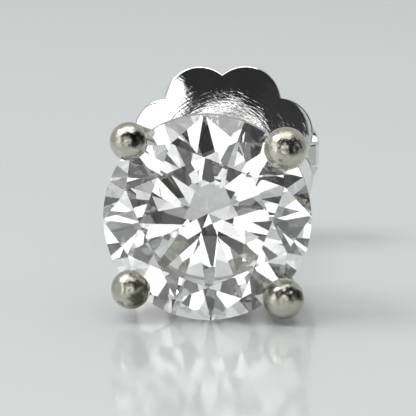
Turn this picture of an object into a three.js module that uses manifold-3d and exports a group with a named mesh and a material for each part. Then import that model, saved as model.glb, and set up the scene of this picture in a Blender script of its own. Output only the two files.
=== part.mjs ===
// A diamond stud earring: a round brilliant in a four-prong basket on an ear post, with a
// scalloped butterfly clutch pushed on the post. It lies on a surface on the stone's girdle and
// on two lobes of the clutch.
//
// Everything is drawn in the stud's own frame first. Its axis is Y: the stone looks towards -Y,
// the post runs to +Y, and the girdle's middle plane is Y = 0. Turns about the axis are degrees
// from +X towards +Z. Lengths are millimetres.

import * as THREE from "three";
import { mergeVertices } from "three/addons/utils/BufferGeometryUtils.js";
import Module from "manifold-3d";

const wasm = await Module();
wasm.setup();

// ---------------------------------------------------------------- driving dimensions

const STONE = {
  radius: 3.25, // a one-carat round brilliant is 6.5 mm across
  table: 0.63, // table's share of the diameter, corner to corner
  crownAngle: 32.6,
  starReach: 0.57, // how far the star facets run from table to girdle
  girdle: 0.42, // thickness at the tips of the mains
  pavilionAngle: 40.3,
  halfReach: 0.76, // how far the lower halves run from girdle to culet
  turn: 1.7, // the stone sits a little turned in its prongs
  girdleSteps: 6, // straight steps along each of the 16 scallops
};
const MAINS = 8;
const MAIN_STEP = 360 / MAINS;

const SEAT_GAP = 0.04; // between the stone and the metal cut to hold it

const PRONG = {
  wire: 0.5, // radius of the round wire
  sides: 16,
  steps: 14,
  beadAt: -0.5, // how far the ball tips stand in front of the girdle's middle
  beadSides: 18,
  beadRings: 12,
};
// The line of a prong's wire from the basket's foot to its ball tip.
const PRONG_ROUTE = [
  { radius: 0.95, along: 3.72 },
  { radius: 1.75, along: 3.3 },
  { radius: 2.6, along: 2.2 },
  { radius: 3.2, along: 1.0 },
  { radius: 3.42, along: 0.2 },
];
const PRONGS = [
  { place: "upper left", turn: 134.4, reach: 3.44, bead: 0.6 },
  { place: "upper right", turn: 42.7, reach: 3.33, bead: 0.68 },
  { place: "lower left", turn: 223.0, reach: 3.25, bead: 0.62 },
  { place: "lower right", turn: 314.2, reach: 3.45, bead: 0.65 },
];

const GALLERY = { radius: 2.55, wire: 0.28, at: 1.6, sides: 10, steps: 40 };
const LOWER_RING = { radius: 1.35, wire: 0.36, at: 3.5, sides: 10, steps: 28 };
const PAD = { radius: 1.15, front: 3.5, back: 4.0 };
const POST = {
  radius: 0.425,
  root: 3.6, // where it is let into the pad
  tip: 14.9,
  tipFlat: 0.25, // radius of the flat end
  taper: 0.5,
  groove: 0.085, // depth
  grooveAt: 13.3,
  grooveHalf: 0.32, // half the groove's length at the post's surface
  grooveFloor: 0.107, // and at its floor
  sides: 24,
};

const PLATE = {
  front: 11.3, // where the plate's foremost circle stands
  thick: 0.26,
  lobes: 8,
  lobeAt: 2.09, // radius of the circle of lobe centres
  lobe: 1.31,
  lobeSteps: 12,
  turn: 0.8, // the clutch sits a little turned on the post
  sides: 64,
  trimFrom: -0.5, // the trimming block's front, from the plate's foremost circle
  trimDepth: 2,
};
// How far each circle of the plate's front face lies behind its foremost circle.
const PLATE_FORM = [
  { radius: 0.47, back: 0.52 },
  { radius: 0.8, back: 0.19 },
  { radius: 1.05, back: 0.04 },
  { radius: 1.3, back: 0.0 },
  { radius: 1.9, back: 0.1 },
  { radius: 2.2, back: 0.21 },
  { radius: 2.8, back: 0.51 },
  { radius: 3.6, back: 0.95 },
];
const EAR = {
  thick: 0.26,
  from: 2.25, // where the strip starts, within the plate
  neck: 0.84, // width of the strip where it leaves the plate
  width: 2.1, // and where it is rolled
  clear: 0.03, // between a rolled ear and the post
  roll: 1.21, // radius of the roll, to the middle of the sheet
  rollEnd: 215, // degrees of the roll, from the outer side to the free end
  reach: 3.28, // how far out the neck's bend comes, to the middle of the sheet
  elbow: 0.33, // how rounded the neck's bend is
  elbowEnd: 0.15,
  ease: 0.4, // how gently the strip runs from the bend into the roll
  steps: 34,
  spare: 0.5, // how far the two outlines that make it overrun it
};
// Places along the axis behind the plate's foremost circle.
const EAR_BACK = {
  start: 0.42,
  leave: 0.79, // where the strip leaves the plate's rim
  bend: 1.25,
  narrowTo: 1.3,
  wideFrom: 1.9,
  roll: 2.02,
  end: 4.3,
};

// ---------------------------------------------------------------- helpers

const WELD = 1e-5; // corners nearer than this are one corner
const radians = THREE.MathUtils.degToRad;

/** A point at a radius and a turn about the stud's axis, at a distance along it. */
function around(radius, turn, along) {
  const angle = radians(turn);
  return new THREE.Vector3(radius * Math.cos(angle), along, radius * Math.sin(angle));
}

/** A closed three.js geometry as a solid that can be joined and cut. */
function solid(geometry) {
  const bare = geometry.index ? geometry.toNonIndexed() : geometry.clone();
  bare.deleteAttribute("normal");
  bare.deleteAttribute("uv");
  const merged = mergeVertices(bare, WELD);
  const vertProperties = new Float32Array(merged.attributes.position.array);
  const triVerts = new Uint32Array(merged.index.array);
  return new wasm.Manifold(new wasm.Mesh({ numProp: 3, vertProperties, triVerts }));
}

/** A solid turned back into a three.js geometry. */
function geometryOf(body) {
  const mesh = body.getMesh();
  const geometry = new THREE.BufferGeometry();
  geometry.setAttribute("position", new THREE.BufferAttribute(mesh.vertProperties, 3));
  geometry.setIndex(new THREE.BufferAttribute(mesh.triVerts, 1));
  return geometry;
}

/** Solids joined into one. */
function join(solids) {
  return solids.reduce((whole, next) => whole.add(next));
}

// ---------------------------------------------------------------- the stone

/** A convex solid from its flat facets, each a list of corners in order round the facet. */
function fromFacets(facets) {
  const corners = [];
  for (const facet of facets) {
    for (let i = 1; i + 1 < facet.length; i += 1) {
      const [a, b, c] = [facet[0], facet[i], facet[i + 1]];
      const normal = new THREE.Vector3().crossVectors(b.clone().sub(a), c.clone().sub(a));
      const faces = normal.dot(a) > 0 ? [a, b, c] : [a, c, b];
      corners.push(...faces);
    }
  }
  return new THREE.BufferGeometry().setFromPoints(corners);
}

/**
 * One side of the stone. `side` is -1 for the crown and 1 for the pavilion. Main facets have
 * the given slope, and half facets fan from their inner corners to a scallop of the girdle.
 */
function halfFacets(side, slope, inner, facets, rims) {
  const { radius, girdle, girdleSteps, turn } = STONE;
  const scallop = MAIN_STEP / 2;
  const edge = girdle / 2;
  const rise = (radius - inner * Math.cos(radians(scallop))) * Math.tan(radians(slope));
  const leanHalf = rise / ((radius - inner) * Math.cos(radians(scallop / 2)));
  for (let half = 0; half < 2 * MAINS; half += 1) {
    const from = turn + half * scallop;
    const rim = [];
    for (let step = 0; step <= girdleSteps; step += 1) {
      const away = (step / girdleSteps - 0.5) * scallop;
      const dip = Math.cos(radians(away)) - Math.cos(radians(scallop / 2));
      const along = side * (edge - leanHalf * radius * dip);
      rim.push(around(radius, from + scallop / 2 + away, along));
    }
    const innerTurn = half % 2 === 0 ? from + scallop : from;
    facets.push([around(inner, innerTurn, side * (edge + rise)), ...rim]);
    rims.push(rim);
  }
  return edge + rise;
}

function stoneGeometry() {
  const { radius, table, starReach, crownAngle, girdle } = STONE;
  const { pavilionAngle, halfReach, turn } = STONE;
  const half = MAIN_STEP / 2;
  const facets = [];
  const crownRims = [];
  const pavilionRims = [];

  const tableRadius = radius * table;
  const tableSide = tableRadius * Math.cos(radians(half));
  const starRadius = tableSide + starReach * (radius - tableSide);
  const starRise = halfFacets(-1, crownAngle, starRadius, facets, crownRims);
  const tableRise = girdle / 2 + (radius - tableRadius) * Math.tan(radians(crownAngle));

  const halfRadius = radius * (1 - halfReach);
  const halfRise = halfFacets(1, pavilionAngle, halfRadius, facets, pavilionRims);
  const culetRise = girdle / 2 + radius * Math.tan(radians(pavilionAngle));
  const culet = new THREE.Vector3(0, culetRise, 0);

  const tableCorners = [];
  for (let main = 0; main < MAINS; main += 1) {
    const at = turn + main * MAIN_STEP;
    const tableCorner = around(tableRadius, at, -tableRise);
    const nextCorner = around(tableRadius, at + MAIN_STEP, -tableRise);
    const starTip = around(starRadius, at + half, -starRise);
    const starBefore = around(starRadius, at - half, -starRise);
    const halfTip = around(halfRadius, at + half, halfRise);
    const halfBefore = around(halfRadius, at - half, halfRise);
    const crownTip = around(radius, at, -girdle / 2);
    const pavilionTip = around(radius, at, girdle / 2);
    tableCorners.push(tableCorner);
    facets.push([tableCorner, nextCorner, starTip]);
    facets.push([tableCorner, starTip, crownTip, starBefore]);
    facets.push([culet, halfTip, pavilionTip, halfBefore]);
  }
  facets.push(tableCorners);

  crownRims.forEach((rim, index) => {
    for (let step = 0; step + 1 < rim.length; step += 1) {
      const below = pavilionRims[index];
      facets.push([rim[step], rim[step + 1], below[step + 1], below[step]]);
    }
  });
  return fromFacets(facets);
}

// ---------------------------------------------------------------- the setting

/** A solid wire of round section along a curve. */
function wireAlong(curve, radius, sides, steps) {
  const section = new THREE.Shape();
  for (let side = 0; side < sides; side += 1) {
    const angle = (2 * Math.PI * side) / sides;
    const x = radius * Math.cos(angle);
    const y = radius * Math.sin(angle);
    if (side === 0) section.moveTo(x, y);
    else section.lineTo(x, y);
  }
  section.closePath();
  return solid(new THREE.ExtrudeGeometry(section, { steps, extrudePath: curve }));
}

/** A ring of round wire about the stud's axis. */
function ringAbout({ radius, wire, at, sides, steps }) {
  const ring = new THREE.TorusGeometry(radius, wire, sides, steps);
  ring.rotateX(Math.PI / 2);
  ring.translate(0, at, 0);
  return solid(ring);
}

/** A turned solid about the stud's axis, from pairs of radius and distance along it. */
function turned(profile, sides) {
  const points = profile.map(([radius, along]) => new THREE.Vector2(radius, along));
  return solid(new THREE.LatheGeometry(points, sides));
}

function prong({ turn, reach, bead }) {
  const { wire, sides, steps, beadAt, beadSides, beadRings } = PRONG;
  const tip = around(reach, turn, beadAt);
  const bends = PRONG_ROUTE.map(({ radius, along }) => around(radius, turn, along));
  const route = new THREE.CatmullRomCurve3([...bends, tip]);
  const ball = new THREE.SphereGeometry(bead, beadSides, beadRings);
  ball.rotateX(Math.PI / 2);
  ball.translate(tip.x, tip.y, tip.z);
  return join([wireAlong(route, wire, sides, steps), solid(ball)]);
}

function post() {
  const { radius, root, tip, tipFlat, taper, sides } = POST;
  const { groove, grooveAt, grooveHalf, grooveFloor } = POST;
  return turned(
    [
      [0, root],
      [radius, root],
      [radius, grooveAt - grooveHalf],
      [radius - groove, grooveAt - grooveFloor],
      [radius - groove, grooveAt + grooveFloor],
      [radius, grooveAt + grooveHalf],
      [radius, tip - taper],
      [tipFlat, tip],
      [0, tip],
    ],
    sides,
  );
}

function settingSolid(stone) {
  const pad = turned(
    [
      [0, PAD.front],
      [PAD.radius, PAD.front],
      [PAD.radius, PAD.back],
      [0, PAD.back],
    ],
    LOWER_RING.steps,
  );
  const rings = [ringAbout(GALLERY), ringAbout(LOWER_RING)];
  const metal = join([...PRONGS.map(prong), ...rings, pad, post()]);
  const swell = (STONE.radius + SEAT_GAP) / STONE.radius;
  const seat = solid(stone.clone().scale(swell, swell, swell));
  return metal.subtract(seat);
}

// ---------------------------------------------------------------- the clutch

/** The plate's scalloped outline, with a notch straight up and down. */
function plateOutline() {
  const { lobes, lobeAt, lobe, lobeSteps } = PLATE;
  const half = 180 / lobes;
  const notchAngle = THREE.MathUtils.radToDeg(Math.asin((lobeAt * Math.sin(radians(half))) / lobe));
  const spread = notchAngle + half;
  const points = [];
  for (let index = 0; index < lobes; index += 1) {
    const turn = PLATE.turn + half + (index * 360) / lobes;
    const centre = around(lobeAt, turn, 0);
    for (let step = 0; step < lobeSteps; step += 1) {
      const angle = radians(turn - spread + (2 * spread * step) / lobeSteps);
      const x = centre.x + lobe * Math.cos(angle);
      const y = centre.z + lobe * Math.sin(angle);
      points.push(new THREE.Vector2(x, y));
    }
  }
  return new THREE.Shape(points);
}

/** The dished and domed sheet, trimmed to the scalloped outline. */
function plateSolid() {
  const { front, thick, sides, trimFrom, trimDepth } = PLATE;
  const face = PLATE_FORM.map(({ radius, back }) => [radius, front + back]);
  const rear = PLATE_FORM.map(({ radius, back }) => [radius, front + back + thick]);
  const sheet = turned([...face, ...rear.reverse(), face[0]], sides);
  const cut = { depth: trimDepth, bevelEnabled: false };
  const trim = new THREE.ExtrudeGeometry(plateOutline(), cut);
  trim.rotateX(Math.PI / 2);
  trim.translate(0, front + trimFrom + trimDepth, 0);
  return sheet.intersect(solid(trim));
}

/** The outline of a sheet seen on edge, half its thickness to each side of a line of points. */
function sheetOnEdge(line, thick) {
  const sides = [[], []];
  line.forEach((point, index) => {
    const before = line[Math.max(index - 1, 0)];
    const after = line[Math.min(index + 1, line.length - 1)];
    const along = after.clone().sub(before).normalize();
    const across = new THREE.Vector2(-along.y, along.x).multiplyScalar(thick / 2);
    sides[0].push(point.clone().sub(across));
    sides[1].push(point.clone().add(across));
  });
  return new THREE.Shape([...sides[0], ...sides[1].reverse()]);
}

/** The line of an ear's sheet seen from above: out of the plate's notch, back and round. */
function earLine() {
  const { thick, clear, roll, rollEnd, reach, steps } = EAR;
  const { from, elbow, elbowEnd, ease } = EAR;
  const { start, leave, bend, roll: rollAt } = EAR_BACK;
  const rollX = POST.radius + clear + thick / 2 + roll;
  const outer = rollX + roll;
  const path = new THREE.Path();
  path.moveTo(from, start);
  path.bezierCurveTo(reach - elbow, leave, reach, leave + elbowEnd, reach, bend);
  path.bezierCurveTo(reach, bend + ease, outer, rollAt - ease, outer, rollAt);
  path.absarc(rollX, rollAt, roll, 0, radians(rollEnd), false);
  return path.getSpacedPoints(steps);
}

/** The outline of the flat strip, narrow at its neck and wide where it is rolled. */
function earWidths() {
  const { neck, width } = EAR;
  const { narrowTo, wideFrom, end } = EAR_BACK;
  return new THREE.Shape([
    new THREE.Vector2(-neck / 2, 0),
    new THREE.Vector2(neck / 2, 0),
    new THREE.Vector2(neck / 2, narrowTo),
    new THREE.Vector2(width / 2, wideFrom),
    new THREE.Vector2(width / 2, end),
    new THREE.Vector2(-width / 2, end),
    new THREE.Vector2(-width / 2, wideFrom),
    new THREE.Vector2(-neck / 2, narrowTo),
  ]);
}

/** The ear on one side: a strip that leaves the plate's rim and rolls back against the post. */
function earSolid(side) {
  const { thick, width, reach, spare } = EAR;
  const across = { depth: width + 2 * spare, bevelEnabled: false };
  const sheet = new THREE.ExtrudeGeometry(sheetOnEdge(earLine(), thick), across);
  sheet.translate(0, 0, -across.depth / 2);
  const outwards = { depth: reach + 2 * spare, bevelEnabled: false };
  const widths = new THREE.ExtrudeGeometry(earWidths(), outwards);
  widths.rotateY(Math.PI / 2);
  const ear = solid(sheet).intersect(solid(widths));
  const turn = side < 0 ? 180 : 0;
  return ear.rotate([0, turn, 0]).translate([0, PLATE.front, 0]);
}

// ---------------------------------------------------------------- the earring

function piece(name, geometry, look) {
  const mesh = new THREE.Mesh(geometry, new THREE.MeshStandardMaterial(look));
  mesh.name = name;
  return mesh;
}

const WHITE_GOLD = { color: 0xc9c7bd, roughness: 0.18, metalness: 1 };
const stone = stoneGeometry();
const clutch = join([plateSolid(), earSolid(1), earSolid(-1)]);

const stud = new THREE.Group();
stud.add(piece("diamond", stone, { color: 0xf4f6f8, roughness: 0.02, metalness: 0 }));
stud.add(piece("prong_setting", geometryOf(settingSolid(stone)), WHITE_GOLD));
stud.add(piece("butterfly_clutch", geometryOf(clutch), WHITE_GOLD));

const box = new THREE.Box3().setFromObject(stud);
const middle = box.getCenter(new THREE.Vector3());
stud.position.set(-middle.x, -middle.y, -box.min.z);

const earring = new THREE.Group();
earring.add(stud);
export default earring;
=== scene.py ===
# %% [markdown]
# # A diamond stud earring
#
# The stud is a round brilliant held by four ball-tipped prongs. The prongs grow from a small
# wire basket, an ear post is soldered to the basket's back, and a scalloped butterfly clutch is
# pushed on the post. It lies on a pale glossy table, on the stone's edge and on two lobes of the
# clutch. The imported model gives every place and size, so it is loaded first.

# %% Load the fixed frame
import math

import bpy
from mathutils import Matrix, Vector
from mathutils.geometry import interpolate_bezier


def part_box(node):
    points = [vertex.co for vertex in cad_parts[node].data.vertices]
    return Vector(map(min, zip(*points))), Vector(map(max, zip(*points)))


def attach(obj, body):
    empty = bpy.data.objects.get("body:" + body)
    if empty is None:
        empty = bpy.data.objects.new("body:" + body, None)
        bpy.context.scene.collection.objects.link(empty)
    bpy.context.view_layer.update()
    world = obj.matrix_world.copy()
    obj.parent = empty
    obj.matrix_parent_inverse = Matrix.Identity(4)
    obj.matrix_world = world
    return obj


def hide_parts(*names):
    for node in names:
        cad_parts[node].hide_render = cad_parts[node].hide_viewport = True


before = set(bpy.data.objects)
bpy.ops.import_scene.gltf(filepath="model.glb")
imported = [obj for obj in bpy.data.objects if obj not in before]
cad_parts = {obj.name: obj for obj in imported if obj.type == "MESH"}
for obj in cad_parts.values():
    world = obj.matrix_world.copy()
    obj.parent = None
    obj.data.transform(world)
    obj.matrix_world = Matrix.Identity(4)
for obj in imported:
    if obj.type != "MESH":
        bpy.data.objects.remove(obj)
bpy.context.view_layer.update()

stud_scene = bpy.context.scene

# %% [markdown]
# ## Where the stone sits
#
# Everything on a stud is measured from the stone. Its girdle, the widest circle, has its middle
# on the post's axis. The stone's box gives that axis, and the stone's known proportions give how
# far the girdle lies in front of the culet, the point at its back.

# %% The stone's place
MM = 0.001
GIRDLE_RADIUS = 3.25
GIRDLE_THICK = 0.42
CROWN_ANGLE = math.radians(32.6)
PAVILION_ANGLE = math.radians(40.3)

stone_low, stone_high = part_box("diamond")
culet_depth = GIRDLE_THICK / 2 + GIRDLE_RADIUS * math.tan(PAVILION_ANGLE)
girdle_centre = (stone_low + stone_high) / 2
girdle_centre.y = stone_high.y - culet_depth * MM
print("girdle centre, mm:", [round(value / MM, 3) for value in girdle_centre])

# %% [markdown]
# ## The camera
#
# A long lens close to the stud sees it almost straight on, from a little above and a little to
# its right, so the clutch's scalloped edge rises behind the stone. The camera is placed on a
# small sphere about the girdle and looks just above it.

# %% Camera
CAMERA_DISTANCE = 82 * MM
CAMERA_ELEVATION = math.radians(10.35)
CAMERA_AZIMUTH = math.radians(2.7)
FIELD_WIDTH = 12.98 * MM
LOOK_ABOVE = Vector((0.019, 0.0, 0.291)) * MM
SENSOR_WIDTH = 36
CLIP_NEAR = 1 * MM
CLIP_FAR = 10

towards_camera = Vector((
    math.sin(CAMERA_AZIMUTH) * math.cos(CAMERA_ELEVATION),
    -math.cos(CAMERA_AZIMUTH) * math.cos(CAMERA_ELEVATION),
    math.sin(CAMERA_ELEVATION),
))
camera_data = bpy.data.cameras.new("studio_camera")
camera = bpy.data.objects.new("studio_camera", camera_data)
stud_scene.collection.objects.link(camera)
stud_scene.camera = camera
look_at = girdle_centre + LOOK_ABOVE
camera.location = look_at + towards_camera * CAMERA_DISTANCE
camera.rotation_euler = towards_camera.to_track_quat("Z", "Y").to_euler()
camera_data.sensor_width = SENSOR_WIDTH
camera_data.lens = SENSOR_WIDTH * CAMERA_DISTANCE / FIELD_WIDTH
camera_data.clip_start = CLIP_NEAR
camera_data.clip_end = CLIP_FAR
print("lens, mm:", round(camera_data.lens, 1))

# %% [markdown]
# ## A jeweller's bench in millimetres
#
# Merging, bevels and remeshing all have tolerances made for things the size of furniture, and
# a prong is only a millimetre thick. So each piece is modelled a thousand times too large, one
# unit to the millimetre, with the girdle's centre at the origin and the post along Y. When a
# piece is done it is shrunk into its place in the frame, and that place is put in its mesh.

# %% Bench helpers
WELD = 0.0005
FINE_WELD = 0.00001
TOO_LITTLE_TO_TURN = 0.0001


def clear_selection():
    """Leaves object mode with nothing selected."""
    if bpy.context.mode != "OBJECT":
        bpy.ops.object.mode_set(mode="OBJECT")
    bpy.ops.object.select_all(action="DESELECT")


def pick(piece):
    """Makes one piece the only selected and active one."""
    clear_selection()
    piece.select_set(True)
    bpy.context.view_layer.objects.active = piece


def select_where(piece, test):
    """Opens a piece in edit mode with only the corners that pass the test selected."""
    pick(piece)
    for face in piece.data.polygons:
        face.select = False
    for edge in piece.data.edges:
        edge.select = False
    for corner in piece.data.vertices:
        corner.select = bool(test(corner.co))
    bpy.ops.object.mode_set(mode="EDIT")
    bpy.ops.mesh.select_mode(type="VERT")


def edit_all(piece):
    """Opens a piece in edit mode with all of it selected."""
    pick(piece)
    bpy.ops.object.mode_set(mode="EDIT")
    bpy.ops.mesh.select_all(action="SELECT")


def close_edit(merge=WELD):
    """Welds doubled corners, turns all faces outwards and leaves edit mode."""
    bpy.ops.mesh.select_all(action="SELECT")
    bpy.ops.mesh.remove_doubles(threshold=merge)
    bpy.ops.mesh.normals_make_consistent(inside=False)
    bpy.ops.object.mode_set(mode="OBJECT")


def apply_transform(piece):
    """Puts a piece's place, turn and scale in its mesh."""
    pick(piece)
    bpy.ops.object.transform_apply(location=True, rotation=True, scale=True)


def modify(piece, kind, **settings):
    """Adds one modifier with its settings and applies it."""
    pick(piece)
    modifier = piece.modifiers.new(kind.lower(), kind)
    for name, value in settings.items():
        setattr(modifier, name, value)
    bpy.ops.object.modifier_apply(modifier=modifier.name)


def copy_of(piece, name):
    """A copy of a piece with its own mesh."""
    pick(piece)
    bpy.ops.object.duplicate(linked=False)
    twin = bpy.context.object
    twin.name = name
    return twin


def join_all(pieces, name):
    """Joins pieces into the first of them."""
    clear_selection()
    for piece in pieces:
        piece.select_set(True)
    bpy.context.view_layer.objects.active = pieces[0]
    bpy.ops.object.join()
    whole = bpy.context.object
    whole.name = name
    return whole


def smooth_below(piece, degrees):
    """Shades a piece smooth, but for edges that turn by more than an angle."""
    pick(piece)
    bpy.ops.object.shade_smooth_by_angle(angle=math.radians(degrees))


def into_place(piece):
    """Shrinks a bench piece to metres at the girdle's centre."""
    piece.scale = (MM, MM, MM)
    piece.location = girdle_centre
    apply_transform(piece)


def say(piece):
    """Prints a piece's size in millimetres and its faces."""
    bpy.context.view_layer.update()
    size = [round(side / MM, 2) for side in piece.dimensions]
    print(piece.name, "mm:", size, "faces:", len(piece.data.polygons))


# %% [markdown]
# ## Cutting the brilliant
#
# A cutter grinds a round blank on a flat wheel, one facet at a time: eight mains, eight stars
# and sixteen halves on the crown, then eight mains and sixteen halves on the pavilion. Bisect
# with its outer side cleared and the cut filled is just that wheel, so each facet comes out
# truly flat and its edges truly sharp, which is what makes a stone sparkle. The angles aren't
# free: halves and stars follow from the mains and from how far each reaches.

# %% Facet values
TABLE_RADIUS = 0.63 * GIRDLE_RADIUS
STAR_REACH = 0.57
HALF_REACH = 0.76
STONE_TURN = 1.7
MAINS = 8
MAIN_STEP = 360 / MAINS
GIRDLE_SIDES = 192
BLANK_DEPTH = 8


def outwards(turn):
    """The direction away from the post's axis, at a turn in degrees from +X towards +Z."""
    angle = math.radians(turn)
    return Vector((math.cos(angle), 0, math.sin(angle)))


def grind(turn, at_radius, at_rise, side, slope):
    """Cuts one facet that passes a height above the girdle's middle with a given slope."""
    away = outwards(turn)
    place = away * at_radius + Vector((0, side * at_rise, 0))
    facing = away * math.sin(slope) + Vector((0, side * math.cos(slope), 0))
    bpy.ops.mesh.select_all(action="SELECT")
    bpy.ops.mesh.bisect(
        plane_co=place, plane_no=facing, clear_outer=True, use_fill=True, threshold=FINE_WELD
    )


def grind_halves(side, slope, inner):
    """Cuts the sixteen half facets between the girdle and the mains' inner corners."""
    scallop = math.radians(MAIN_STEP / 2)
    rise = (GIRDLE_RADIUS - inner * math.cos(scallop)) * math.tan(slope)
    lean = math.atan(rise / ((GIRDLE_RADIUS - inner) * math.cos(scallop / 2)))
    for half in range(2 * MAINS):
        turn = STONE_TURN + (half + 0.5) * MAIN_STEP / 2
        grind(turn, GIRDLE_RADIUS * math.cos(scallop / 2), GIRDLE_THICK / 2, side, lean)
    return GIRDLE_THICK / 2 + rise


# %% Grind the stone
clear_selection()
bpy.ops.mesh.primitive_cylinder_add(
    vertices=GIRDLE_SIDES, radius=GIRDLE_RADIUS, depth=BLANK_DEPTH, rotation=(math.pi / 2, 0, 0)
)
diamond = bpy.context.object
diamond.name = "round_brilliant"
apply_transform(diamond)
bpy.ops.object.mode_set(mode="EDIT")

half_turn = math.radians(MAIN_STEP / 2)
table_side = TABLE_RADIUS * math.cos(half_turn)
star_radius = table_side + STAR_REACH * (GIRDLE_RADIUS - table_side)
table_rise = GIRDLE_THICK / 2 + (GIRDLE_RADIUS - TABLE_RADIUS) * math.tan(CROWN_ANGLE)
half_radius = GIRDLE_RADIUS * (1 - HALF_REACH)
for main in range(MAINS):
    main_turn = STONE_TURN + main * MAIN_STEP
    grind(main_turn, GIRDLE_RADIUS, GIRDLE_THICK / 2, -1, CROWN_ANGLE)
    grind(main_turn, GIRDLE_RADIUS, GIRDLE_THICK / 2, 1, PAVILION_ANGLE)
star_rise = grind_halves(-1, CROWN_ANGLE, star_radius)
grind_halves(1, PAVILION_ANGLE, half_radius)
star_slope = math.atan((table_rise - star_rise) / (star_radius - table_side))
for star in range(MAINS):
    grind(STONE_TURN + (star + 0.5) * MAIN_STEP, table_side, table_rise, -1, star_slope)
grind(0, 0, table_rise, -1, 0)
close_edit(merge=FINE_WELD)
print("facets and girdle faces:", len(diamond.data.polygons))

# %% [markdown]
# ## Girdle and seat cutter
#
# The girdle is left as the lathe made it, finely ground and not polished, so it gets a finish
# of its own. Its faces are those that look straight away from the axis. A slightly larger copy
# of the stone is kept aside to cut the seats in the prongs.

# %% Girdle faces and seat cutter
SEAT_GAP = 0.04
ACROSS_AXIS = 0.01

diamond.data.materials.append(bpy.data.materials.new("polished_diamond"))
diamond.data.materials.append(bpy.data.materials.new("ground_girdle"))
for face in diamond.data.polygons:
    face.material_index = 1 if abs(face.normal.y) < ACROSS_AXIS else 0
seat_cutter = copy_of(diamond, "seat_cutter")
seat_cutter.scale = [(GIRDLE_RADIUS + SEAT_GAP) / GIRDLE_RADIUS] * 3
apply_transform(seat_cutter)
into_place(diamond)
say(diamond)

# %% [markdown]
# ## Drawing a wire out of a ring
#
# A prong is a round wire that bends and swells. By hand one adds a filled circle, extrudes it a
# little, tilts it to follow the bend, scales it and goes on. The helper below does just that
# through a list of stations, each a centre, a heading in the XY plane and a radius. It gives
# clean rings of faces that bend evenly, which a curve with a bevel can't swell so freely.

# %% Extrude a ring through stations
def ring(name, sides, centre, heading, radius):
    """Adds a filled ring across its heading, ready to be drawn out."""
    clear_selection()
    bpy.ops.mesh.primitive_circle_add(
        vertices=sides,
        radius=radius,
        fill_type="NGON",
        location=centre,
        rotation=(0, math.pi / 2, heading),
    )
    piece = bpy.context.object
    piece.name = name
    apply_transform(piece)
    return piece


def draw_out(piece, stations, pointed=False):
    """Extrudes the ring at the first station through the rest, and closes the end."""
    edit_all(piece)
    for (start, heading, radius), (end, turned, grown) in zip(stations, stations[1:]):
        bpy.ops.mesh.extrude_region_move(TRANSFORM_OT_translate={"value": end - start})
        if abs(turned - heading) > TOO_LITTLE_TO_TURN:
            bpy.ops.transform.rotate(
                value=heading - turned, orient_axis="Z", center_override=end
            )
        ratio = grown / radius
        bpy.ops.transform.resize(value=(ratio, ratio, ratio), center_override=end)
    if pointed:
        bpy.ops.mesh.merge(type="CENTER")
    close_edit()


# %% [markdown]
# ## Four prongs with ball tips
#
# Each prong leaves the basket's foot, sweeps out under the stone's pavilion, climbs past the
# girdle and ends in a ball pushed down on the crown's edge. They are set by hand, so no two
# reach quite as far or have quite the same ball. The route is a smooth curve through a few
# chosen points, and the ball is more rings along the same heading.

# %% Prong values and route
WIRE = 0.5
WAIST = 0.08
NECK = 0.92 * WIRE
NECK_CLEAR = 0.1
BALL_FORWARD = 0.5
BALL_RINGS = 18
BALL_POLE = 0.02
PRONG_SIDES = 40
SPAN_STEPS = 6
PRONGS = [
    {"place": "upper_left", "turn": 134.4, "reach": 3.44, "ball": 0.60},
    {"place": "upper_right", "turn": 42.7, "reach": 3.33, "ball": 0.68},
    {"place": "lower_left", "turn": 223.0, "reach": 3.25, "ball": 0.62},
    {"place": "lower_right", "turn": 314.2, "reach": 3.45, "ball": 0.65},
]
UPPER_RIGHT, LOWER_LEFT, LOWER_RIGHT = 1, 2, 3
PRONG_ROUTE = [(0.95, 3.72), (1.75, 3.3), (2.6, 2.2), (3.2, 1.0), (3.42, 0.2)]


def smooth_through(points, per_span):
    """Points along a Catmull-Rom curve through the given ones."""
    ends = [2 * points[0] - points[1], *points, 2 * points[-1] - points[-2]]
    route = []
    for a, b, c, d in zip(ends, ends[1:], ends[2:], ends[3:]):
        for step in range(per_span):
            t = step / per_span
            bend = (2 * a - 5 * b + 4 * c - d) * t**2 + (3 * b - a - 3 * c + d) * t**3
            route.append((2 * b + (c - a) * t + bend) / 2)
    return [*route, points[-1]]


def headings(route):
    """The direction of a route in the XY plane at each of its points."""
    ahead = [*route[1:], 2 * route[-1] - route[-2]]
    behind = [2 * route[0] - route[1], *route[:-1]]
    return [math.atan2((b - a).y, (b - a).x) for a, b in zip(behind, ahead)]


def ball_rings(centre, heading, radius):
    """Stations round a ball from the ring where it meets its neck to its far pole."""
    forward = Vector((math.cos(heading), math.sin(heading), 0))
    first = math.asin(NECK / radius)
    stations = []
    for step in range(BALL_RINGS + 1):
        angle = first + (math.pi - BALL_POLE - first) * step / BALL_RINGS
        place = centre - forward * radius * math.cos(angle)
        stations.append((place, heading, radius * math.sin(angle)))
    return stations


# %% Draw out and turn the prongs
def prong(place, turn, reach, ball):
    """One prong, drawn in the XY plane and then turned about the stud's axis."""
    tip = Vector((reach, -BALL_FORWARD, 0))
    corners = [Vector((x, y, 0)) for x, y in PRONG_ROUTE] + [tip]
    route = smooth_through(corners, SPAN_STEPS)
    wire = []
    for index, (centre, heading) in enumerate(zip(route, headings(route))):
        waist = 1 - WAIST * math.sin(math.pi * index / len(route))
        wire.append((centre, heading, WIRE * waist))
    heading = wire[-1][1]
    neck_back = math.sqrt(ball**2 - NECK**2) + NECK_CLEAR
    wire = [station for station in wire if (station[0] - tip).length > neck_back]
    stations = wire + ball_rings(tip, heading, ball)
    piece = ring("prong_" + place, PRONG_SIDES, *stations[0])
    draw_out(piece, stations, pointed=True)
    piece.rotation_euler = (0, -math.radians(turn), 0)
    apply_transform(piece)
    return piece


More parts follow.
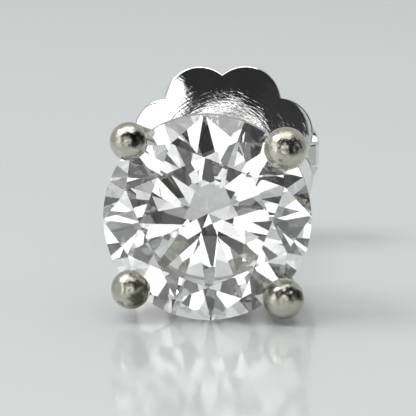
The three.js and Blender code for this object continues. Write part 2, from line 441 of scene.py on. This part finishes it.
prongs = [prong(**row) for row in PRONGS]
for piece in prongs:
    print(piece.name, [round(side, 2) for side in piece.dimensions], len(piece.data.polygons))

# %% [markdown]
# ## Marks of the setter's tools
#
# A ball that has been pushed down with a steel tool isn't round any more. The lower left one
# has a ridge between two flats, and the upper right and lower right ones have small dents. A
# flat is one cut of the ball with bisect, and a dent is the ball less a smaller one that barely
# dips into it.

# %% Flats and dents in the balls
TOOL_SEGMENTS = 40
FLATS = [
    # which ball, the way the flat faces, its depth
    (LOWER_LEFT, (0.62, -0.75, -0.1), 0.055),
    (LOWER_LEFT, (-0.62, -0.66, 0.1), 0.05),
]
DENTS = [
    # which ball, the way the dent faces, its depth, the radius of the tool
    (UPPER_RIGHT, (0.45, -0.85, 0.15), 0.045, 0.35),
    (UPPER_RIGHT, (-0.05, -1.0, 0.05), 0.02, 0.3),
    (LOWER_RIGHT, (0.3, -0.8, 0.6), 0.04, 0.4),
    (LOWER_RIGHT, (-0.25, -0.85, 0.45), 0.03, 0.3),
]


def on_ball(which, facing, height):
    """A place above one ball's surface, straight along a direction."""
    row = PRONGS[which]
    middle = outwards(row["turn"]) * row["reach"] + Vector((0, -BALL_FORWARD, 0))
    return middle + facing * (row["ball"] + height)


for which, facing, depth in FLATS:
    facing = Vector(facing).normalized()
    edit_all(prongs[which])
    bpy.ops.mesh.bisect(
        plane_co=on_ball(which, facing, -depth),
        plane_no=facing,
        clear_outer=True,
        use_fill=True,
    )
    close_edit()
for which, facing, depth, radius in DENTS:
    clear_selection()
    bpy.ops.mesh.primitive_uv_sphere_add(
        segments=TOOL_SEGMENTS,
        ring_count=TOOL_SEGMENTS // 2,
        radius=radius,
        location=on_ball(which, Vector(facing).normalized(), radius - depth),
    )
    tool = bpy.context.object
    apply_transform(tool)
    modify(prongs[which], "BOOLEAN", operation="DIFFERENCE", solver="EXACT", object=tool)
    bpy.data.objects.remove(tool)
print("flats:", len(FLATS), "dents:", len(DENTS))

# %% [markdown]
# ## The basket
#
# Behind the stone two rings of wire tie the prongs together: a wide gallery ring under the
# pavilion and a small one at the foot, closed by a disc for the post. Their sections are a
# little flattened, as drawn wire is when it is bent. Each is an oval spun about the axis.

# %% Gallery ring, lower ring and disc
SECTION_SIDES = 24
RINGS = [
    # name, radius, place along the axis, half the section across and along, sides
    ("gallery_ring", 2.55, 1.6, 0.27, 0.29, 96),
    ("lower_ring", 1.35, 3.5, 0.36, 0.34, 72),
]
DISC_SIDES = 64
DISC_PROFILE = [(3.5, 1.09), (3.56, 1.14), (3.62, 1.15), (3.9, 1.15), (3.97, 1.12), (4.0, 1.05)]


def spun_ring(name, radius, at, across, along, sides):
    """A ring about the post's axis with an oval section."""
    clear_selection()
    bpy.ops.mesh.primitive_circle_add(
        vertices=SECTION_SIDES, radius=1, fill_type="NOTHING", location=(radius, at, 0)
    )
    piece = bpy.context.object
    piece.name = name
    piece.scale = (across, along, 1)
    apply_transform(piece)
    edit_all(piece)
    bpy.ops.mesh.spin(steps=sides, angle=2 * math.pi, center=(0, 0, 0), axis=(0, 1, 0))
    close_edit(merge=2 * WELD)
    return piece


def turned(name, profile, sides):
    """A turned solid about the post's axis, from pairs of place along it and radius."""
    stations = [(Vector((0, along, 0)), math.pi / 2, radius) for along, radius in profile]
    piece = ring(name, sides, *stations[0])
    draw_out(piece, stations)
    return piece


basket = [spun_ring(*row) for row in RINGS]
basket.append(turned("foot_disc", DISC_PROFILE, DISC_SIDES))
for piece in basket:
    print(piece.name, [round(side, 2) for side in piece.dimensions], len(piece.data.polygons))

# %% [markdown]
# ## Soldering
#
# The wires and the disc are soldered, and solder runs into every corner and rounds it. Joining
# the meshes and remeshing them at about a twentieth of a millimetre makes one skin of them, and
# a little smoothing rounds the joints as solder does. The seats are cut afterwards, so that
# they stay crisp.

# %% One skin for the basket
SKIN_GRID = 0.045
SOLDER_SOFTNESS = 0.5
SOLDER_ROUNDS = 5

setting = join_all([*prongs, *basket], "four_prong_setting")
modify(setting, "REMESH", mode="VOXEL", voxel_size=SKIN_GRID, adaptivity=0)
modify(setting, "SMOOTH", factor=SOLDER_SOFTNESS, iterations=SOLDER_ROUNDS)
modify(setting, "BOOLEAN", operation="DIFFERENCE", solver="EXACT", object=seat_cutter)
bpy.data.objects.remove(seat_cutter)
print("setting faces:", len(setting.data.polygons))

# %% [markdown]
# ## The ear post
#
# The post is a plain wire with a rounded end that slips through the ear, and a shallow groove
# near it where the clutch clicks. At its root the solder has drawn up into a small cone. It is
# turned from rings, like a lathe profile.

# %% Post
POST_RADIUS = 0.425
POST_TIP = 14.9
GROOVE_AT = 13.3
GROOVE_HALF = 0.32
GROOVE_DEPTH = 0.085
GROOVE_STEPS = 12
TIP_LENGTH = 0.5
TIP_FLAT = 0.25
TIP_STEPS = 6
POST_SIDES = 48
SOLDER_CONE = [(3.8, 0.8), (4.0, 0.72), (4.06, 0.6), (4.16, 0.5), (4.3, 0.445)]
SHAFT = [(place, POST_RADIUS) for place in (4.5, 7, 9.5, 12)]

groove = []
for step in range(GROOVE_STEPS + 1):
    place = -1 + 2 * step / GROOVE_STEPS
    depth = GROOVE_DEPTH * (1 + math.cos(math.pi * place)) / 2
    groove.append((GROOVE_AT + GROOVE_HALF * place, POST_RADIUS - depth))
tip = []
for step in range(TIP_STEPS + 1):
    angle = math.radians(90) * step / TIP_STEPS
    away = TIP_FLAT + (POST_RADIUS - TIP_FLAT) * math.cos(angle)
    tip.append((POST_TIP - TIP_LENGTH + TIP_LENGTH * math.sin(angle), away))
post = turned("ear_post", [*SOLDER_CONE, *SHAFT, *groove, *tip], POST_SIDES)
print("post faces:", len(post.data.polygons))

# %% Setting into place
setting = join_all([setting, post], "four_prong_setting")
smooth_below(setting, degrees=50)
into_place(setting)
say(setting)

# %% [markdown]
# ## The clutch's plate
#
# A butterfly clutch is stamped from one sheet: a scalloped plate that bends back towards its
# rim, with the edge of the post's hole drawn back too, and two ears rolled up behind it. The
# plate starts as the circle round the hole, is extruded and scaled outwards ring by ring, and
# each ring is moved to follow the stamped form. On the outer rings the corners between the
# lobes are drawn in towards the axis, all that are alike at a time, and slid forwards to stay
# on that form. Solidify gives the sheet its thickness, and Bevel its rounded rim.

# %% Plate values
PLATE_FRONT = 11.3
SHEET = 0.26
LOBES = 8
LOBE_AT = 2.09
LOBE_RADIUS = 1.31
PLATE_TURN = 0.8
LOBE_SIDES = 24
SCALLOP_FROM = 1.95
SAME_RADIUS = 0.001
SAME_ANGLE = 0.002
PLATE_FORM = [
    # radius of each ring, and how far it lies behind the foremost one
    (0.47, 0.53), (0.53, 0.46), (0.7, 0.28), (0.85, 0.15), (1.0, 0.06), (1.15, 0.015),
    (1.3, 0.0), (1.5, 0.02), (1.7, 0.055), (1.9, 0.105), (2.05, 0.155), (2.2, 0.22),
    (2.4, 0.315), (2.6, 0.415), (2.8, 0.52), (3.0, 0.625), (3.2, 0.735), (3.4, 0.845),
]


def lobe_outline(away):
    """The outline's radius at an angle in radians from the middle of a lobe."""
    across = LOBE_AT * math.sin(away)
    return LOBE_AT * math.cos(away) + math.sqrt(LOBE_RADIUS**2 - across**2)


def form_back(radius):
    """How far the stamped form lies back at a radius."""
    for (inner, front), (outer, back) in zip(PLATE_FORM, PLATE_FORM[1:]):
        if radius <= outer:
            return front + (back - front) * (radius - inner) / (outer - inner)
    return PLATE_FORM[-1][1]


def from_lobe(point):
    """The angle of a point from the middle of its lobe, in radians and without a sign."""
    step = 2 * math.pi / LOBES
    turn = math.atan2(point.z, point.x) - math.radians(PLATE_TURN)
    return abs(turn % step - step / 2)


# %% Draw the plate out ring by ring
clear_selection()
bpy.ops.mesh.primitive_circle_add(
    vertices=LOBES * LOBE_SIDES,
    radius=PLATE_FORM[0][0],
    fill_type="NOTHING",
    location=(0, PLATE_FRONT + PLATE_FORM[0][1], 0),
    rotation=(math.pi / 2, math.radians(-PLATE_TURN), 0),
)
clutch = bpy.context.object
clutch.name = "butterfly_clutch_sheet"
apply_transform(clutch)
edit_all(clutch)
for (inner, front), (outer, back) in zip(PLATE_FORM, PLATE_FORM[1:]):
    shift = Vector((0, back - front, 0))
    bpy.ops.mesh.extrude_edges_move(TRANSFORM_OT_translate={"value": shift})
    ratio = outer / inner
    bpy.ops.transform.resize(value=(ratio, 1, ratio))
bpy.ops.object.mode_set(mode="OBJECT")
print("plate faces:", len(clutch.data.polygons))

# %% Draw the notches in
outline_tip = LOBE_AT + LOBE_RADIUS
half_lobe = LOBE_SIDES // 2
for outer, back in PLATE_FORM:
    if outer <= SCALLOP_FROM:
        continue
    share = (outer - SCALLOP_FROM) / (outline_tip - SCALLOP_FROM)
    for step in range(1, half_lobe + 1):
        away = math.radians(180 / LOBES) * step / half_lobe
        wanted = SCALLOP_FROM + share * (lobe_outline(away) - SCALLOP_FROM)
        select_where(
            clutch,
            lambda point: abs(math.hypot(point.x, point.z) - outer) < SAME_RADIUS
            and abs(from_lobe(point) - away) < SAME_ANGLE,
        )
        ratio = wanted / outer
        bpy.ops.transform.resize(value=(ratio, 1, ratio), center_override=(0, 0, 0))
        bpy.ops.transform.translate(value=(0, form_back(wanted) - back, 0))
        bpy.ops.object.mode_set(mode="OBJECT")
radii = [math.hypot(corner.co.x, corner.co.z) for corner in clutch.data.vertices]
print("plate radius:", round(max(radii), 3), "hole:", round(min(radii), 3))

# %% [markdown]
# ## Thickness and rim
#
# The sheet's front must stay where it was stamped, so the faces are turned to look forwards and
# the thickness is added behind them. A rounded bevel on every sharp edge gives the thin bright
# line that runs round each lobe.

# %% Sheet thickness and rounded rim
PLATE_RIM = 0.085
RIM_SEGMENTS = 4
SHARP = math.radians(50)


def face_forwards(piece):
    """Flips an open sheet's faces if most of them look backwards."""
    if sum(face.normal.y * face.area for face in piece.data.polygons) > 0:
        edit_all(piece)
        bpy.ops.mesh.flip_normals()
        bpy.ops.object.mode_set(mode="OBJECT")


def rounded_sheet(piece, offset, rim):
    """Gives a sheet its thickness and rounds its edges."""
    modify(piece, "SOLIDIFY", thickness=SHEET, offset=offset, use_even_offset=True)
    modify(
        piece,
        "BEVEL",
        width=rim,
        segments=RIM_SEGMENTS,
        limit_method="ANGLE",
        angle_limit=SHARP,
    )


face_forwards(clutch)
rounded_sheet(clutch, offset=-1, rim=PLATE_RIM)
print("rounded plate faces:", len(clutch.data.polygons))

# %% [markdown]
# ## The clutch's ears
#
# Each ear is a strip that leaves the plate at a notch, turns back and is rolled up until its
# face springs against the post. The strip starts as one short piece of sheet. Its leading edge
# is extruded along the roll and widened from the narrow neck to the full ear, and drawn in at
# the free end so that its corners are round. The second ear is a copy turned half round.

# %% Ear values and line
EAR_NECK = 0.84
EAR_WIDTH = 2.1
EAR_CLEAR = 0.03
EAR_ROLL = 1.21
EAR_ROLL_END = 215
EAR_REACH = 3.28
EAR_FROM = 2.25
EAR_START = 0.42
EAR_LEAVE = 0.79
EAR_BEND = 1.25
EAR_ROLL_AT = 2.02
EAR_RIM = 0.07
EAR_WIDENS_FROM = 1.15
EAR_WIDENS_FOR = 0.75
EAR_END_SHARE = 0.55
EAR_END_ROWS = 8
ELBOW_PULL = 0.33
ELBOW_RISE = 0.15
SHOULDER_PULL = 0.4
ELBOW_POINTS, SHOULDER_POINTS, ROLL_STEPS = 14, 12, 44
ACROSS_SIDES = 10

roll_x = POST_RADIUS + EAR_CLEAR + SHEET / 2 + EAR_ROLL
outer_x = roll_x + EAR_ROLL


def sheet_point(x, back):
    """A point of the ear's line, behind the plate's foremost circle."""
    return Vector((x, PLATE_FRONT + back, 0))


elbow = interpolate_bezier(
    sheet_point(EAR_FROM, EAR_START),
    sheet_point(EAR_REACH - ELBOW_PULL, EAR_LEAVE),
    sheet_point(EAR_REACH, EAR_LEAVE + ELBOW_RISE),
    sheet_point(EAR_REACH, EAR_BEND),
    ELBOW_POINTS,
)
shoulder = interpolate_bezier(
    sheet_point(EAR_REACH, EAR_BEND),
    sheet_point(EAR_REACH, EAR_BEND + SHOULDER_PULL),
    sheet_point(outer_x, EAR_ROLL_AT - SHOULDER_PULL),
    sheet_point(outer_x, EAR_ROLL_AT),
    SHOULDER_POINTS,
)
roll = []
for step in range(1, ROLL_STEPS + 1):
    angle = math.radians(EAR_ROLL_END) * step / ROLL_STEPS
    across, back = EAR_ROLL * math.cos(angle), EAR_ROLL * math.sin(angle)
    roll.append(sheet_point(roll_x + across, EAR_ROLL_AT + back))
ear_line = [*elbow, *shoulder[1:], *roll]


def ear_width(index):
    """The strip's width at a point of the ear's line."""
    back = ear_line[index].y - PLATE_FRONT
    left = len(ear_line) - 1 - index
    wider = min(max((back - EAR_WIDENS_FROM) / EAR_WIDENS_FOR, 0), 1)
    wider = wider * wider * (3 - 2 * wider)
    if index > len(ear_line) // 2:
        wider = 1
    rounding = math.sqrt(1 - (1 - min(left / EAR_END_ROWS, 1)) ** 2)
    wider *= EAR_END_SHARE + (1 - EAR_END_SHARE) * rounding
    return EAR_NECK + (EAR_WIDTH - EAR_NECK) * wider


# %% Roll the ears
def ear(name):
    """One rolled ear on the +X side."""
    first, second = ear_line[0], ear_line[1]
    clear_selection()
    bpy.ops.mesh.primitive_grid_add(
        x_subdivisions=1,
        y_subdivisions=ACROSS_SIDES,
        size=1,
        location=(first + second) / 2,
        rotation=(math.pi / 2, 0, 0),
    )
    piece = bpy.context.object
    piece.name = name
    piece.scale = (second.x - first.x, ear_width(0), 1)
    apply_transform(piece)
    select_where(piece, lambda point: point.x > (first.x + second.x) / 2)
    for index in range(1, len(ear_line) - 1):
        here, there = ear_line[index], ear_line[index + 1]
        bpy.ops.mesh.extrude_edges_move(TRANSFORM_OT_translate={"value": there - here})
        ratio = ear_width(index + 1) / ear_width(index)
        bpy.ops.transform.resize(value=(1, 1, ratio), center_override=there)
    close_edit()
    rounded_sheet(piece, offset=0, rim=EAR_RIM)
    return piece


right_ear = ear("right_ear")
left_ear = copy_of(right_ear, "left_ear")
left_ear.rotation_euler = (0, math.pi, 0)
apply_transform(left_ear)
clutch = join_all([clutch, right_ear, left_ear], "scalloped_butterfly_clutch")
smooth_below(clutch, degrees=40)
into_place(clutch)
say(clutch)

# %% [markdown]
# ## Which body each piece belongs to
#
# The stone and its setting are one body and the clutch slides on it as another. Each piece also
# stands for the plain piece of the imported model that it covers.

# %% Bodies
for piece, node, body, slot in (
    (diamond, "diamond", "stud", "diamond"),
    (setting, "prong_setting", "stud", "white_gold"),
    (clutch, "butterfly_clutch", "clutch", "rhodium_white_gold"),
):
    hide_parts(node)
    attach(piece, body)
print("pieces placed on their bodies")

# %% [markdown]
# ## Helpers for finishes
#
# Finishes are built from nodes on Object coordinates, turned into millimetres so that the
# numbers read as real sizes. A few short helpers keep each recipe readable.

# %% Node helpers
MIX_SHARE, MIX_FIRST, MIX_SECOND, MIX_RESULT = 0, 6, 7, 2  # a colour mix's sockets
RANGE_ENDS = ("From Min", "From Max", "To Min", "To Max")


def node(tree, kind, **settings):
    """Adds a node and sets its properties, or its inputs by their names."""
    added = tree.nodes.new(kind)
    for name, value in settings.items():
        if hasattr(added, name):
            setattr(added, name, value)
        else:
            added.inputs[name.replace("_", " ")].default_value = value
    return added


def millimetres(tree, stretch=(1, 1, 1), turn=(0, 0, 0)):
    """Object coordinates in millimetres, turned and then stretched."""
    place = node(tree, "ShaderNodeTexCoord")
    turned_to = node(tree, "ShaderNodeMapping")
    turned_to.inputs["Rotation"].default_value = [math.radians(angle) for angle in turn]
    turned_to.inputs["Scale"].default_value = [1 / MM] * 3
    tree.links.new(place.outputs["Object"], turned_to.inputs["Vector"])
    stretched = node(tree, "ShaderNodeMapping")
    stretched.inputs["Scale"].default_value = stretch
    tree.links.new(turned_to.outputs["Vector"], stretched.inputs["Vector"])
    return stretched.outputs["Vector"]


def noise(tree, where, scale, detail=3, roughness=0.5):
    """Cloudy noise with a number of features per millimetre."""
    cloud = node(tree, "ShaderNodeTexNoise", Scale=scale, Detail=detail, Roughness=roughness)
    tree.links.new(where, cloud.inputs["Vector"])
    return cloud.outputs["Fac"]


def spread(tree, value, low, high, to_low, to_high):
    """Maps a value from one range to another, held at both ends."""
    ranged = node(tree, "ShaderNodeMapRange")
    tree.links.new(value, ranged.inputs["Value"])
    for name, number in zip(RANGE_ENDS, (low, high, to_low, to_high)):
        ranged.inputs[name].default_value = number
    return ranged.outputs["Result"]


def combine(tree, operation, first, second):
    """Combines two values, each a number or a node's output."""
    maths = node(tree, "ShaderNodeMath", operation=operation)
    for socket, value in zip(maths.inputs, (first, second)):
        if isinstance(value, (int, float)):
            socket.default_value = value
        else:
            tree.links.new(value, socket)
    return maths.outputs["Value"]


def distance_to(tree, where, middle):
    """How far a place is from a middle."""
    apart = node(tree, "ShaderNodeVectorMath", operation="DISTANCE")
    tree.links.new(where, apart.inputs[0])
    apart.inputs[1].default_value = middle
    return apart.outputs["Value"]


def two_colours(tree, share, first, second):
    """A colour between two, each plain or a node's output, by a value from 0 to 1."""
    blend = node(tree, "ShaderNodeMix", data_type="RGBA")
    tree.links.new(share, blend.inputs[MIX_SHARE])
    for socket, colour in ((MIX_FIRST, first), (MIX_SECOND, second)):
        if isinstance(colour, tuple):
            blend.inputs[socket].default_value = (*colour, 1)
        else:
            tree.links.new(colour, blend.inputs[socket])
    return blend.outputs[MIX_RESULT]


def finish_of(material):
    """A material's node tree and its main shader."""
    material.use_nodes = True
    return material.node_tree, material.node_tree.nodes["Principled BSDF"]


def metal_finish(piece, name):
    """Gives a piece a new metal in place of its materials, and returns its tree and shader."""
    material = bpy.data.materials.new(name)
    piece.data.materials.clear()
    piece.data.materials.append(material)
    tree, shader = finish_of(material)
    shader.inputs["Metallic"].default_value = 1
    return tree, shader


def relief(tree, height, depth, shader, strength=1.0):
    """Bumps a shader's surface by a height from 0 to 1, of a depth in millimetres."""
    bump = node(tree, "ShaderNodeBump", Strength=strength, Distance=depth * MM)
    tree.links.new(height, bump.inputs["Height"])
    tree.links.new(bump.outputs["Normal"], shader.inputs["Normal"])


# %% [markdown]
# ## Diamond
#
# A diamond bends light far more than glass does. Most of its sparkle is light that has gone in,
# turned twice on the pavilion and come out again, so there is nothing to paint: a perfectly
# smooth glass shader with the right index does it, given enough bounces. Polishing leaves the
# faintest lines on the facets, far too fine to see, and they are left out. The girdle is ground
# and not polished, so it is the same glass with a fine grain.

# %% Diamond finishes
DIAMOND_INDEX = 2.417
GRAIN_PER_MM = 22
GRAIN_DEPTH = 0.01
GROUND_ROUGHNESS = (0.25, 0.5)

for material in diamond.data.materials:
    tree, shader = finish_of(material)
    shader.inputs["IOR"].default_value = DIAMOND_INDEX
    shader.inputs["Transmission Weight"].default_value = 1
    shader.inputs["Roughness"].default_value = 0
    shader.inputs["Base Color"].default_value = (1, 1, 1, 1)
tree, shader = finish_of(bpy.data.materials["ground_girdle"])
grain = noise(tree, millimetres(tree), GRAIN_PER_MM, detail=2)
tree.links.new(spread(tree, grain, 0.3, 0.7, *GROUND_ROUGHNESS), shader.inputs["Roughness"])
relief(tree, grain, GRAIN_DEPTH, shader, 0.6)
print("stone finishes:", [material.name for material in diamond.data.materials])

# %% [markdown]
# ## White gold of the setting
#
# Fourteen-carat white gold has a warm grey of its own, which shows where its bright plating has
# worn. The balls have been burnished by hand, so they are neither even mirrors nor satin: the
# roughness drifts over tenths of a millimetre, the surface has shallow dimples, and there are
# fine scratches and a little darkness here and there. Ragged dark spots are also painted on the
# balls at chosen places: painted shade and painted reflections of the dark surroundings.

# %% White gold
PAINTED_DARK_SPOTS = [
    # middle and radius of each painted dark spot (painted shade and painted reflection), in mm
    ((-2.12, -7.85, 5.86), 0.3),
    ((2.62, -8.0, 5.6), 0.2),
    ((2.35, -7.95, 5.3), 0.13),
    ((-2.12, -7.85, 0.82), 0.32),
    ((-1.95, -7.65, 1.12), 0.27),
    ((-2.62, -7.8, 0.75), 0.15),
    ((2.9, -7.7, 0.95), 0.2),
    ((2.0, -7.7, 1.15), 0.2),
]
STAIN_AND_PAINTED_SHADE_COLOUR = (0.07, 0.07, 0.05)
PAINTED_SPOT_RAGGED = 0.7
PAINTED_SPOT_INSIDE, PAINTED_SPOT_OUTSIDE = 0.14, 0.04
PAINTED_SPOT_DARKNESS = 0.9
ELSEWHERE_DARKNESS = 0.12
GOLD_DULL = (0.50, 0.485, 0.41)
GOLD_BRIGHT = (0.62, 0.61, 0.54)
GOLD_ROUGHNESS = (0.07, 0.26)
GOLD_RELIEF = 0.05
SCRATCH_SHARE = 0.12

tree, shader = metal_finish(setting, "worn_white_gold")
where = millimetres(tree)
patches = spread(tree, noise(tree, where, 1.7, detail=4), 0.35, 0.65, 0, 1)
colour = two_colours(tree, patches, GOLD_DULL, GOLD_BRIGHT)
ragged = noise(tree, where, 4.0, detail=5, roughness=0.65)
ragged = combine(tree, "MULTIPLY", ragged, PAINTED_SPOT_RAGGED)
stains = noise(tree, where, 1.5, detail=5, roughness=0.65)
dark = spread(tree, stains, 0.53, 0.63, 0, ELSEWHERE_DARKNESS)
# Painted shade and painted dark reflections: a ragged dark spot round each listed middle
for middle, radius in PAINTED_DARK_SPOTS:
    away = combine(tree, "ADD", distance_to(tree, where, middle), ragged)
    edge = radius + PAINTED_SPOT_RAGGED / 2
    spot = spread(tree, away, edge - PAINTED_SPOT_INSIDE, edge + PAINTED_SPOT_OUTSIDE, PAINTED_SPOT_DARKNESS, 0)
    dark = combine(tree, "MAXIMUM", dark, spot)
# The random stains and the painted dark spots both pull the gold towards one dark colour
colour = two_colours(tree, dark, colour, STAIN_AND_PAINTED_SHADE_COLOUR)
tree.links.new(colour, shader.inputs["Base Color"])
drift = noise(tree, where, 2.6, detail=5, roughness=0.6)
tree.links.new(spread(tree, drift, 0.32, 0.68, *GOLD_ROUGHNESS), shader.inputs["Roughness"])
dimples = noise(tree, where, 3.2, detail=4, roughness=0.55)
scratches = noise(tree, millimetres(tree, stretch=(2, 2, 40), turn=(20, 35, 0)), 1.0, detail=2)
scratches = combine(tree, "MULTIPLY", scratches, SCRATCH_SHARE)
relief(tree, combine(tree, "ADD", dimples, scratches), GOLD_RELIEF, shader, 0.7)
print("dark spots:", len(PAINTED_DARK_SPOTS))

# %% [markdown]
# ## Rhodium on the clutch
#
# The clutch is plated with rhodium, a colder and much brighter white, and stamping leaves it
# almost a mirror. It goes black where it faces something dark. Handling gives it fine
# scratches, which run mostly round and across the plate, and a soft ripple from the stamp. The
# scratches are deeper near the hole, where the post is pushed in, than out on the lobes.

# %% Rhodium
AXIS_HEIGHT = 3.25
RHODIUM_DULL = (0.80, 0.80, 0.80)
RHODIUM_BRIGHT = (0.90, 0.90, 0.89)
RHODIUM_ROUGHNESS = (0.03, 0.07)
RHODIUM_RELIEF = 0.03
MARKS_PER_RADIAN = 4
MARKS_PER_MM = 11
DEEP_WITHIN, SHALLOW_FROM = 2.1, 2.9
DEEP, SHALLOW = 0.8, 0.1

tree, shader = metal_finish(clutch, "rhodium_plate")
where = millimetres(tree)
haze = spread(tree, noise(tree, where, 1.3, detail=4), 0.35, 0.65, 0, 1)
colour = two_colours(tree, haze, RHODIUM_DULL, RHODIUM_BRIGHT)
tree.links.new(colour, shader.inputs["Base Color"])
from_axis = node(tree, "ShaderNodeMapping")
from_axis.inputs["Location"].default_value = (0, 0, -AXIS_HEIGHT)
from_axis.inputs["Scale"].default_value = (1, 0, 1)
tree.links.new(where, from_axis.inputs["Vector"])
sides = node(tree, "ShaderNodeSeparateXYZ")
tree.links.new(from_axis.outputs["Vector"], sides.inputs["Vector"])
turned_by = combine(tree, "ARCTAN2", sides.outputs["Z"], sides.outputs["X"])
off_axis = distance_to(tree, from_axis.outputs["Vector"], (0, 0, 0))
round_axis = node(tree, "ShaderNodeCombineXYZ")
turns = combine(tree, "MULTIPLY", turned_by, MARKS_PER_RADIAN)
tree.links.new(turns, round_axis.inputs["X"])
circles = combine(tree, "MULTIPLY", off_axis, MARKS_PER_MM)
tree.links.new(circles, round_axis.inputs["Y"])
around = noise(tree, round_axis.outputs["Vector"], 1.0, detail=2)
across = noise(tree, millimetres(tree, stretch=(3, 2, 20), turn=(0, -30, 0)), 1.0, detail=2)
marks = combine(tree, "ADD", around, across)
tree.links.new(spread(tree, marks, 0.8, 1.25, *RHODIUM_ROUGHNESS), shader.inputs["Roughness"])
ripple = noise(tree, where, 0.8, detail=2)
depth = spread(tree, off_axis, DEEP_WITHIN, SHALLOW_FROM, DEEP, SHALLOW)
height = combine(tree, "ADD", ripple, combine(tree, "MULTIPLY", marks, depth))
relief(tree, height, RHODIUM_RELIEF, shader, 0.6)
print("finishes:", [material.name for material in bpy.data.materials])

# %% [markdown]
# ## The table it lies on
#
# The stud lies on a pale glossy sheet, which shows a blurred reflection of the stone and a thin
# soft shadow under it. A plane far larger than the view does for it, with a slight haze in its
# gloss and a very faint unevenness in its colour.

# %% Table
TABLE_SIZE = 3.0
TABLE_DARKER = (0.685, 0.705, 0.70)
TABLE_LIGHTER = (0.715, 0.735, 0.73)
TABLE_ROUGHNESS = 0.1

clear_selection()
bpy.ops.mesh.primitive_plane_add(size=TABLE_SIZE)
floor = bpy.context.object
floor.name = "pale_table"
pale = bpy.data.materials.new("pale_gloss")
tree, shader = finish_of(pale)
cloud = noise(tree, millimetres(tree), 0.05, detail=2)
tint = two_colours(tree, cloud, TABLE_DARKER, TABLE_LIGHTER)
tree.links.new(tint, shader.inputs["Base Color"])
shader.inputs["Roughness"].default_value = TABLE_ROUGHNESS
floor.data.materials.append(pale)
print("table:", TABLE_SIZE, "m")

# %% [markdown]
# ## Studio light
#
# Jewellery is lit by what surrounds it. Bright polished metal and a cut stone look right only
# when there is something white and something dark for them to show. So a pale room lights
# everything softly, one white panel hangs overhead and a stronger one up at the left makes the
# shadow, and a low window stands at the left. In front there are a soft box and a small white
# panel above it, with the dark body of the camera before them. Dark cards stand over them and
# on both sides. Two more lie on the table, one in front and one to the right, and take the
# table's glare off the stone. A small white card up at the left gives the clutch's left lobe
# its white. The cards shine on their front only, and the camera doesn't see them. Only the
# strong panels up high light the table and other dull surfaces, so the low ones don't wash out
# the shadow under the stud.

# %% Room
ROOM_COLOUR = (0.82, 0.84, 0.84, 1)
ROOM_STRENGTH = 0.64
DARK_CARD = 0.2
HIGH_UP = 0.6
LIGHT_BOUNCES = 24

room = bpy.data.worlds.new("pale_room")
stud_scene.world = room
room.use_nodes = True
room_light = room.node_tree.nodes["Background"]
room_light.inputs["Color"].default_value = ROOM_COLOUR
room_light.inputs["Strength"].default_value = ROOM_STRENGTH


def direction(azimuth, elevation):
    """The way to a panel, in degrees from straight in front towards +X, and upwards."""
    a, e = math.radians(azimuth), math.radians(elevation)
    return Vector((math.sin(a) * math.cos(e), -math.cos(a) * math.cos(e), math.sin(e)))


def glow(name, strength):
    """A light that shines from a plane's front only. From behind the plane isn't there."""
    material = bpy.data.materials.new(name)
    material.use_nodes = True
    tree = material.node_tree
    tree.nodes.clear()
    side = node(tree, "ShaderNodeNewGeometry")
    light = node(tree, "ShaderNodeEmission", Strength=strength)
    clear = node(tree, "ShaderNodeBsdfTransparent")
    either = node(tree, "ShaderNodeMixShader")
    tree.links.new(side.outputs["Backfacing"], either.inputs[0])
    tree.links.new(light.outputs["Emission"], either.inputs[1])
    tree.links.new(clear.outputs["BSDF"], either.inputs[2])
    end = node(tree, "ShaderNodeOutputMaterial")
    tree.links.new(either.outputs["Shader"], end.inputs["Surface"])
    return material


def card(name, place, facing, wide, tall, strength):
    """A plane out of the camera's sight, for the stud to be lit by and to show."""
    clear_selection()
    bpy.ops.mesh.primitive_plane_add(
        size=1, location=place, rotation=facing.to_track_quat("Z", "Y").to_euler()
    )
    plane = bpy.context.object
    plane.name = name
    plane.scale = (wide, tall, 1)
    plane.data.materials.append(glow(name, strength))
    plane.visible_camera = False
    plane.visible_shadow = False
    plane.visible_diffuse = strength > DARK_CARD and facing.normalized().z < -HIGH_UP


def panel(name, azimuth, elevation, wide, tall, distance, strength):
    """A card that faces the stone and fills an angle across and an angle up and down."""
    way = direction(azimuth, elevation)
    across = 2 * distance * math.tan(math.radians(wide) / 2)
    up = 2 * distance * math.tan(math.radians(tall) / 2)
    card(name, girdle_centre + way * distance, -way, across, up, strength)


# %% Panels
PANELS = [
    # name, azimuth, elevation, angle across, angle up and down, distance, strength
    ("front_softbox", -1, 11, 45, 22, 0.30, 1.5),
    ("front_top", 2, 28, 16, 12, 0.29, 1.5),
    ("camera_body", 1, 8, 11, 18, 0.15, 0.03),
    ("upper_dark", 6, 50, 72, 28, 0.42, 0.03),
    ("left_dark", -34, 19, 20, 38, 0.40, 0.05),
    ("right_dark", 40.5, 20, 33, 40, 0.40, 0.04),
    ("left_window", -57.5, 13, 27, 27, 0.30, 1.5),
    ("left_key", -84, 52, 30, 24, 0.30, 5.5),
    ("right_top", 18, 29, 12, 14, 0.35, 0.04),
    ("right_wall", 88, 22, 41, 45, 0.40, 0.08),
    ("right_upper", 66, 51, 38, 26, 0.40, 0.03),
    ("overhead", 0, 88, 46, 44, 0.30, 1.9),
]
CARDS = [
    # name, middle, direction it faces, width and height, all in millimetres, and strength
    ("low_flag", (-0.5, -35, 0.1), (0, 0, 1), 10, 26, 0.1),
    ("right_flag", (32, -42, 0.1), (0, 0, 1), 44, 44, 0.05),
    ("white_card", (-17, -9.5, 16), (12.5, 13.7, -11), 7, 12, 1.5),
]
for row in PANELS:
    panel(*row)
for name, middle, facing, wide, tall, strength in CARDS:
    card(name, Vector(middle) * MM, Vector(facing), wide * MM, tall * MM, strength)
stud_scene.cycles.max_bounces = LIGHT_BOUNCES
stud_scene.cycles.glossy_bounces = LIGHT_BOUNCES
stud_scene.cycles.transmission_bounces = LIGHT_BOUNCES
stud_scene.view_settings.view_transform = "Standard"
print("panels and cards:", [row[0] for row in PANELS + CARDS])
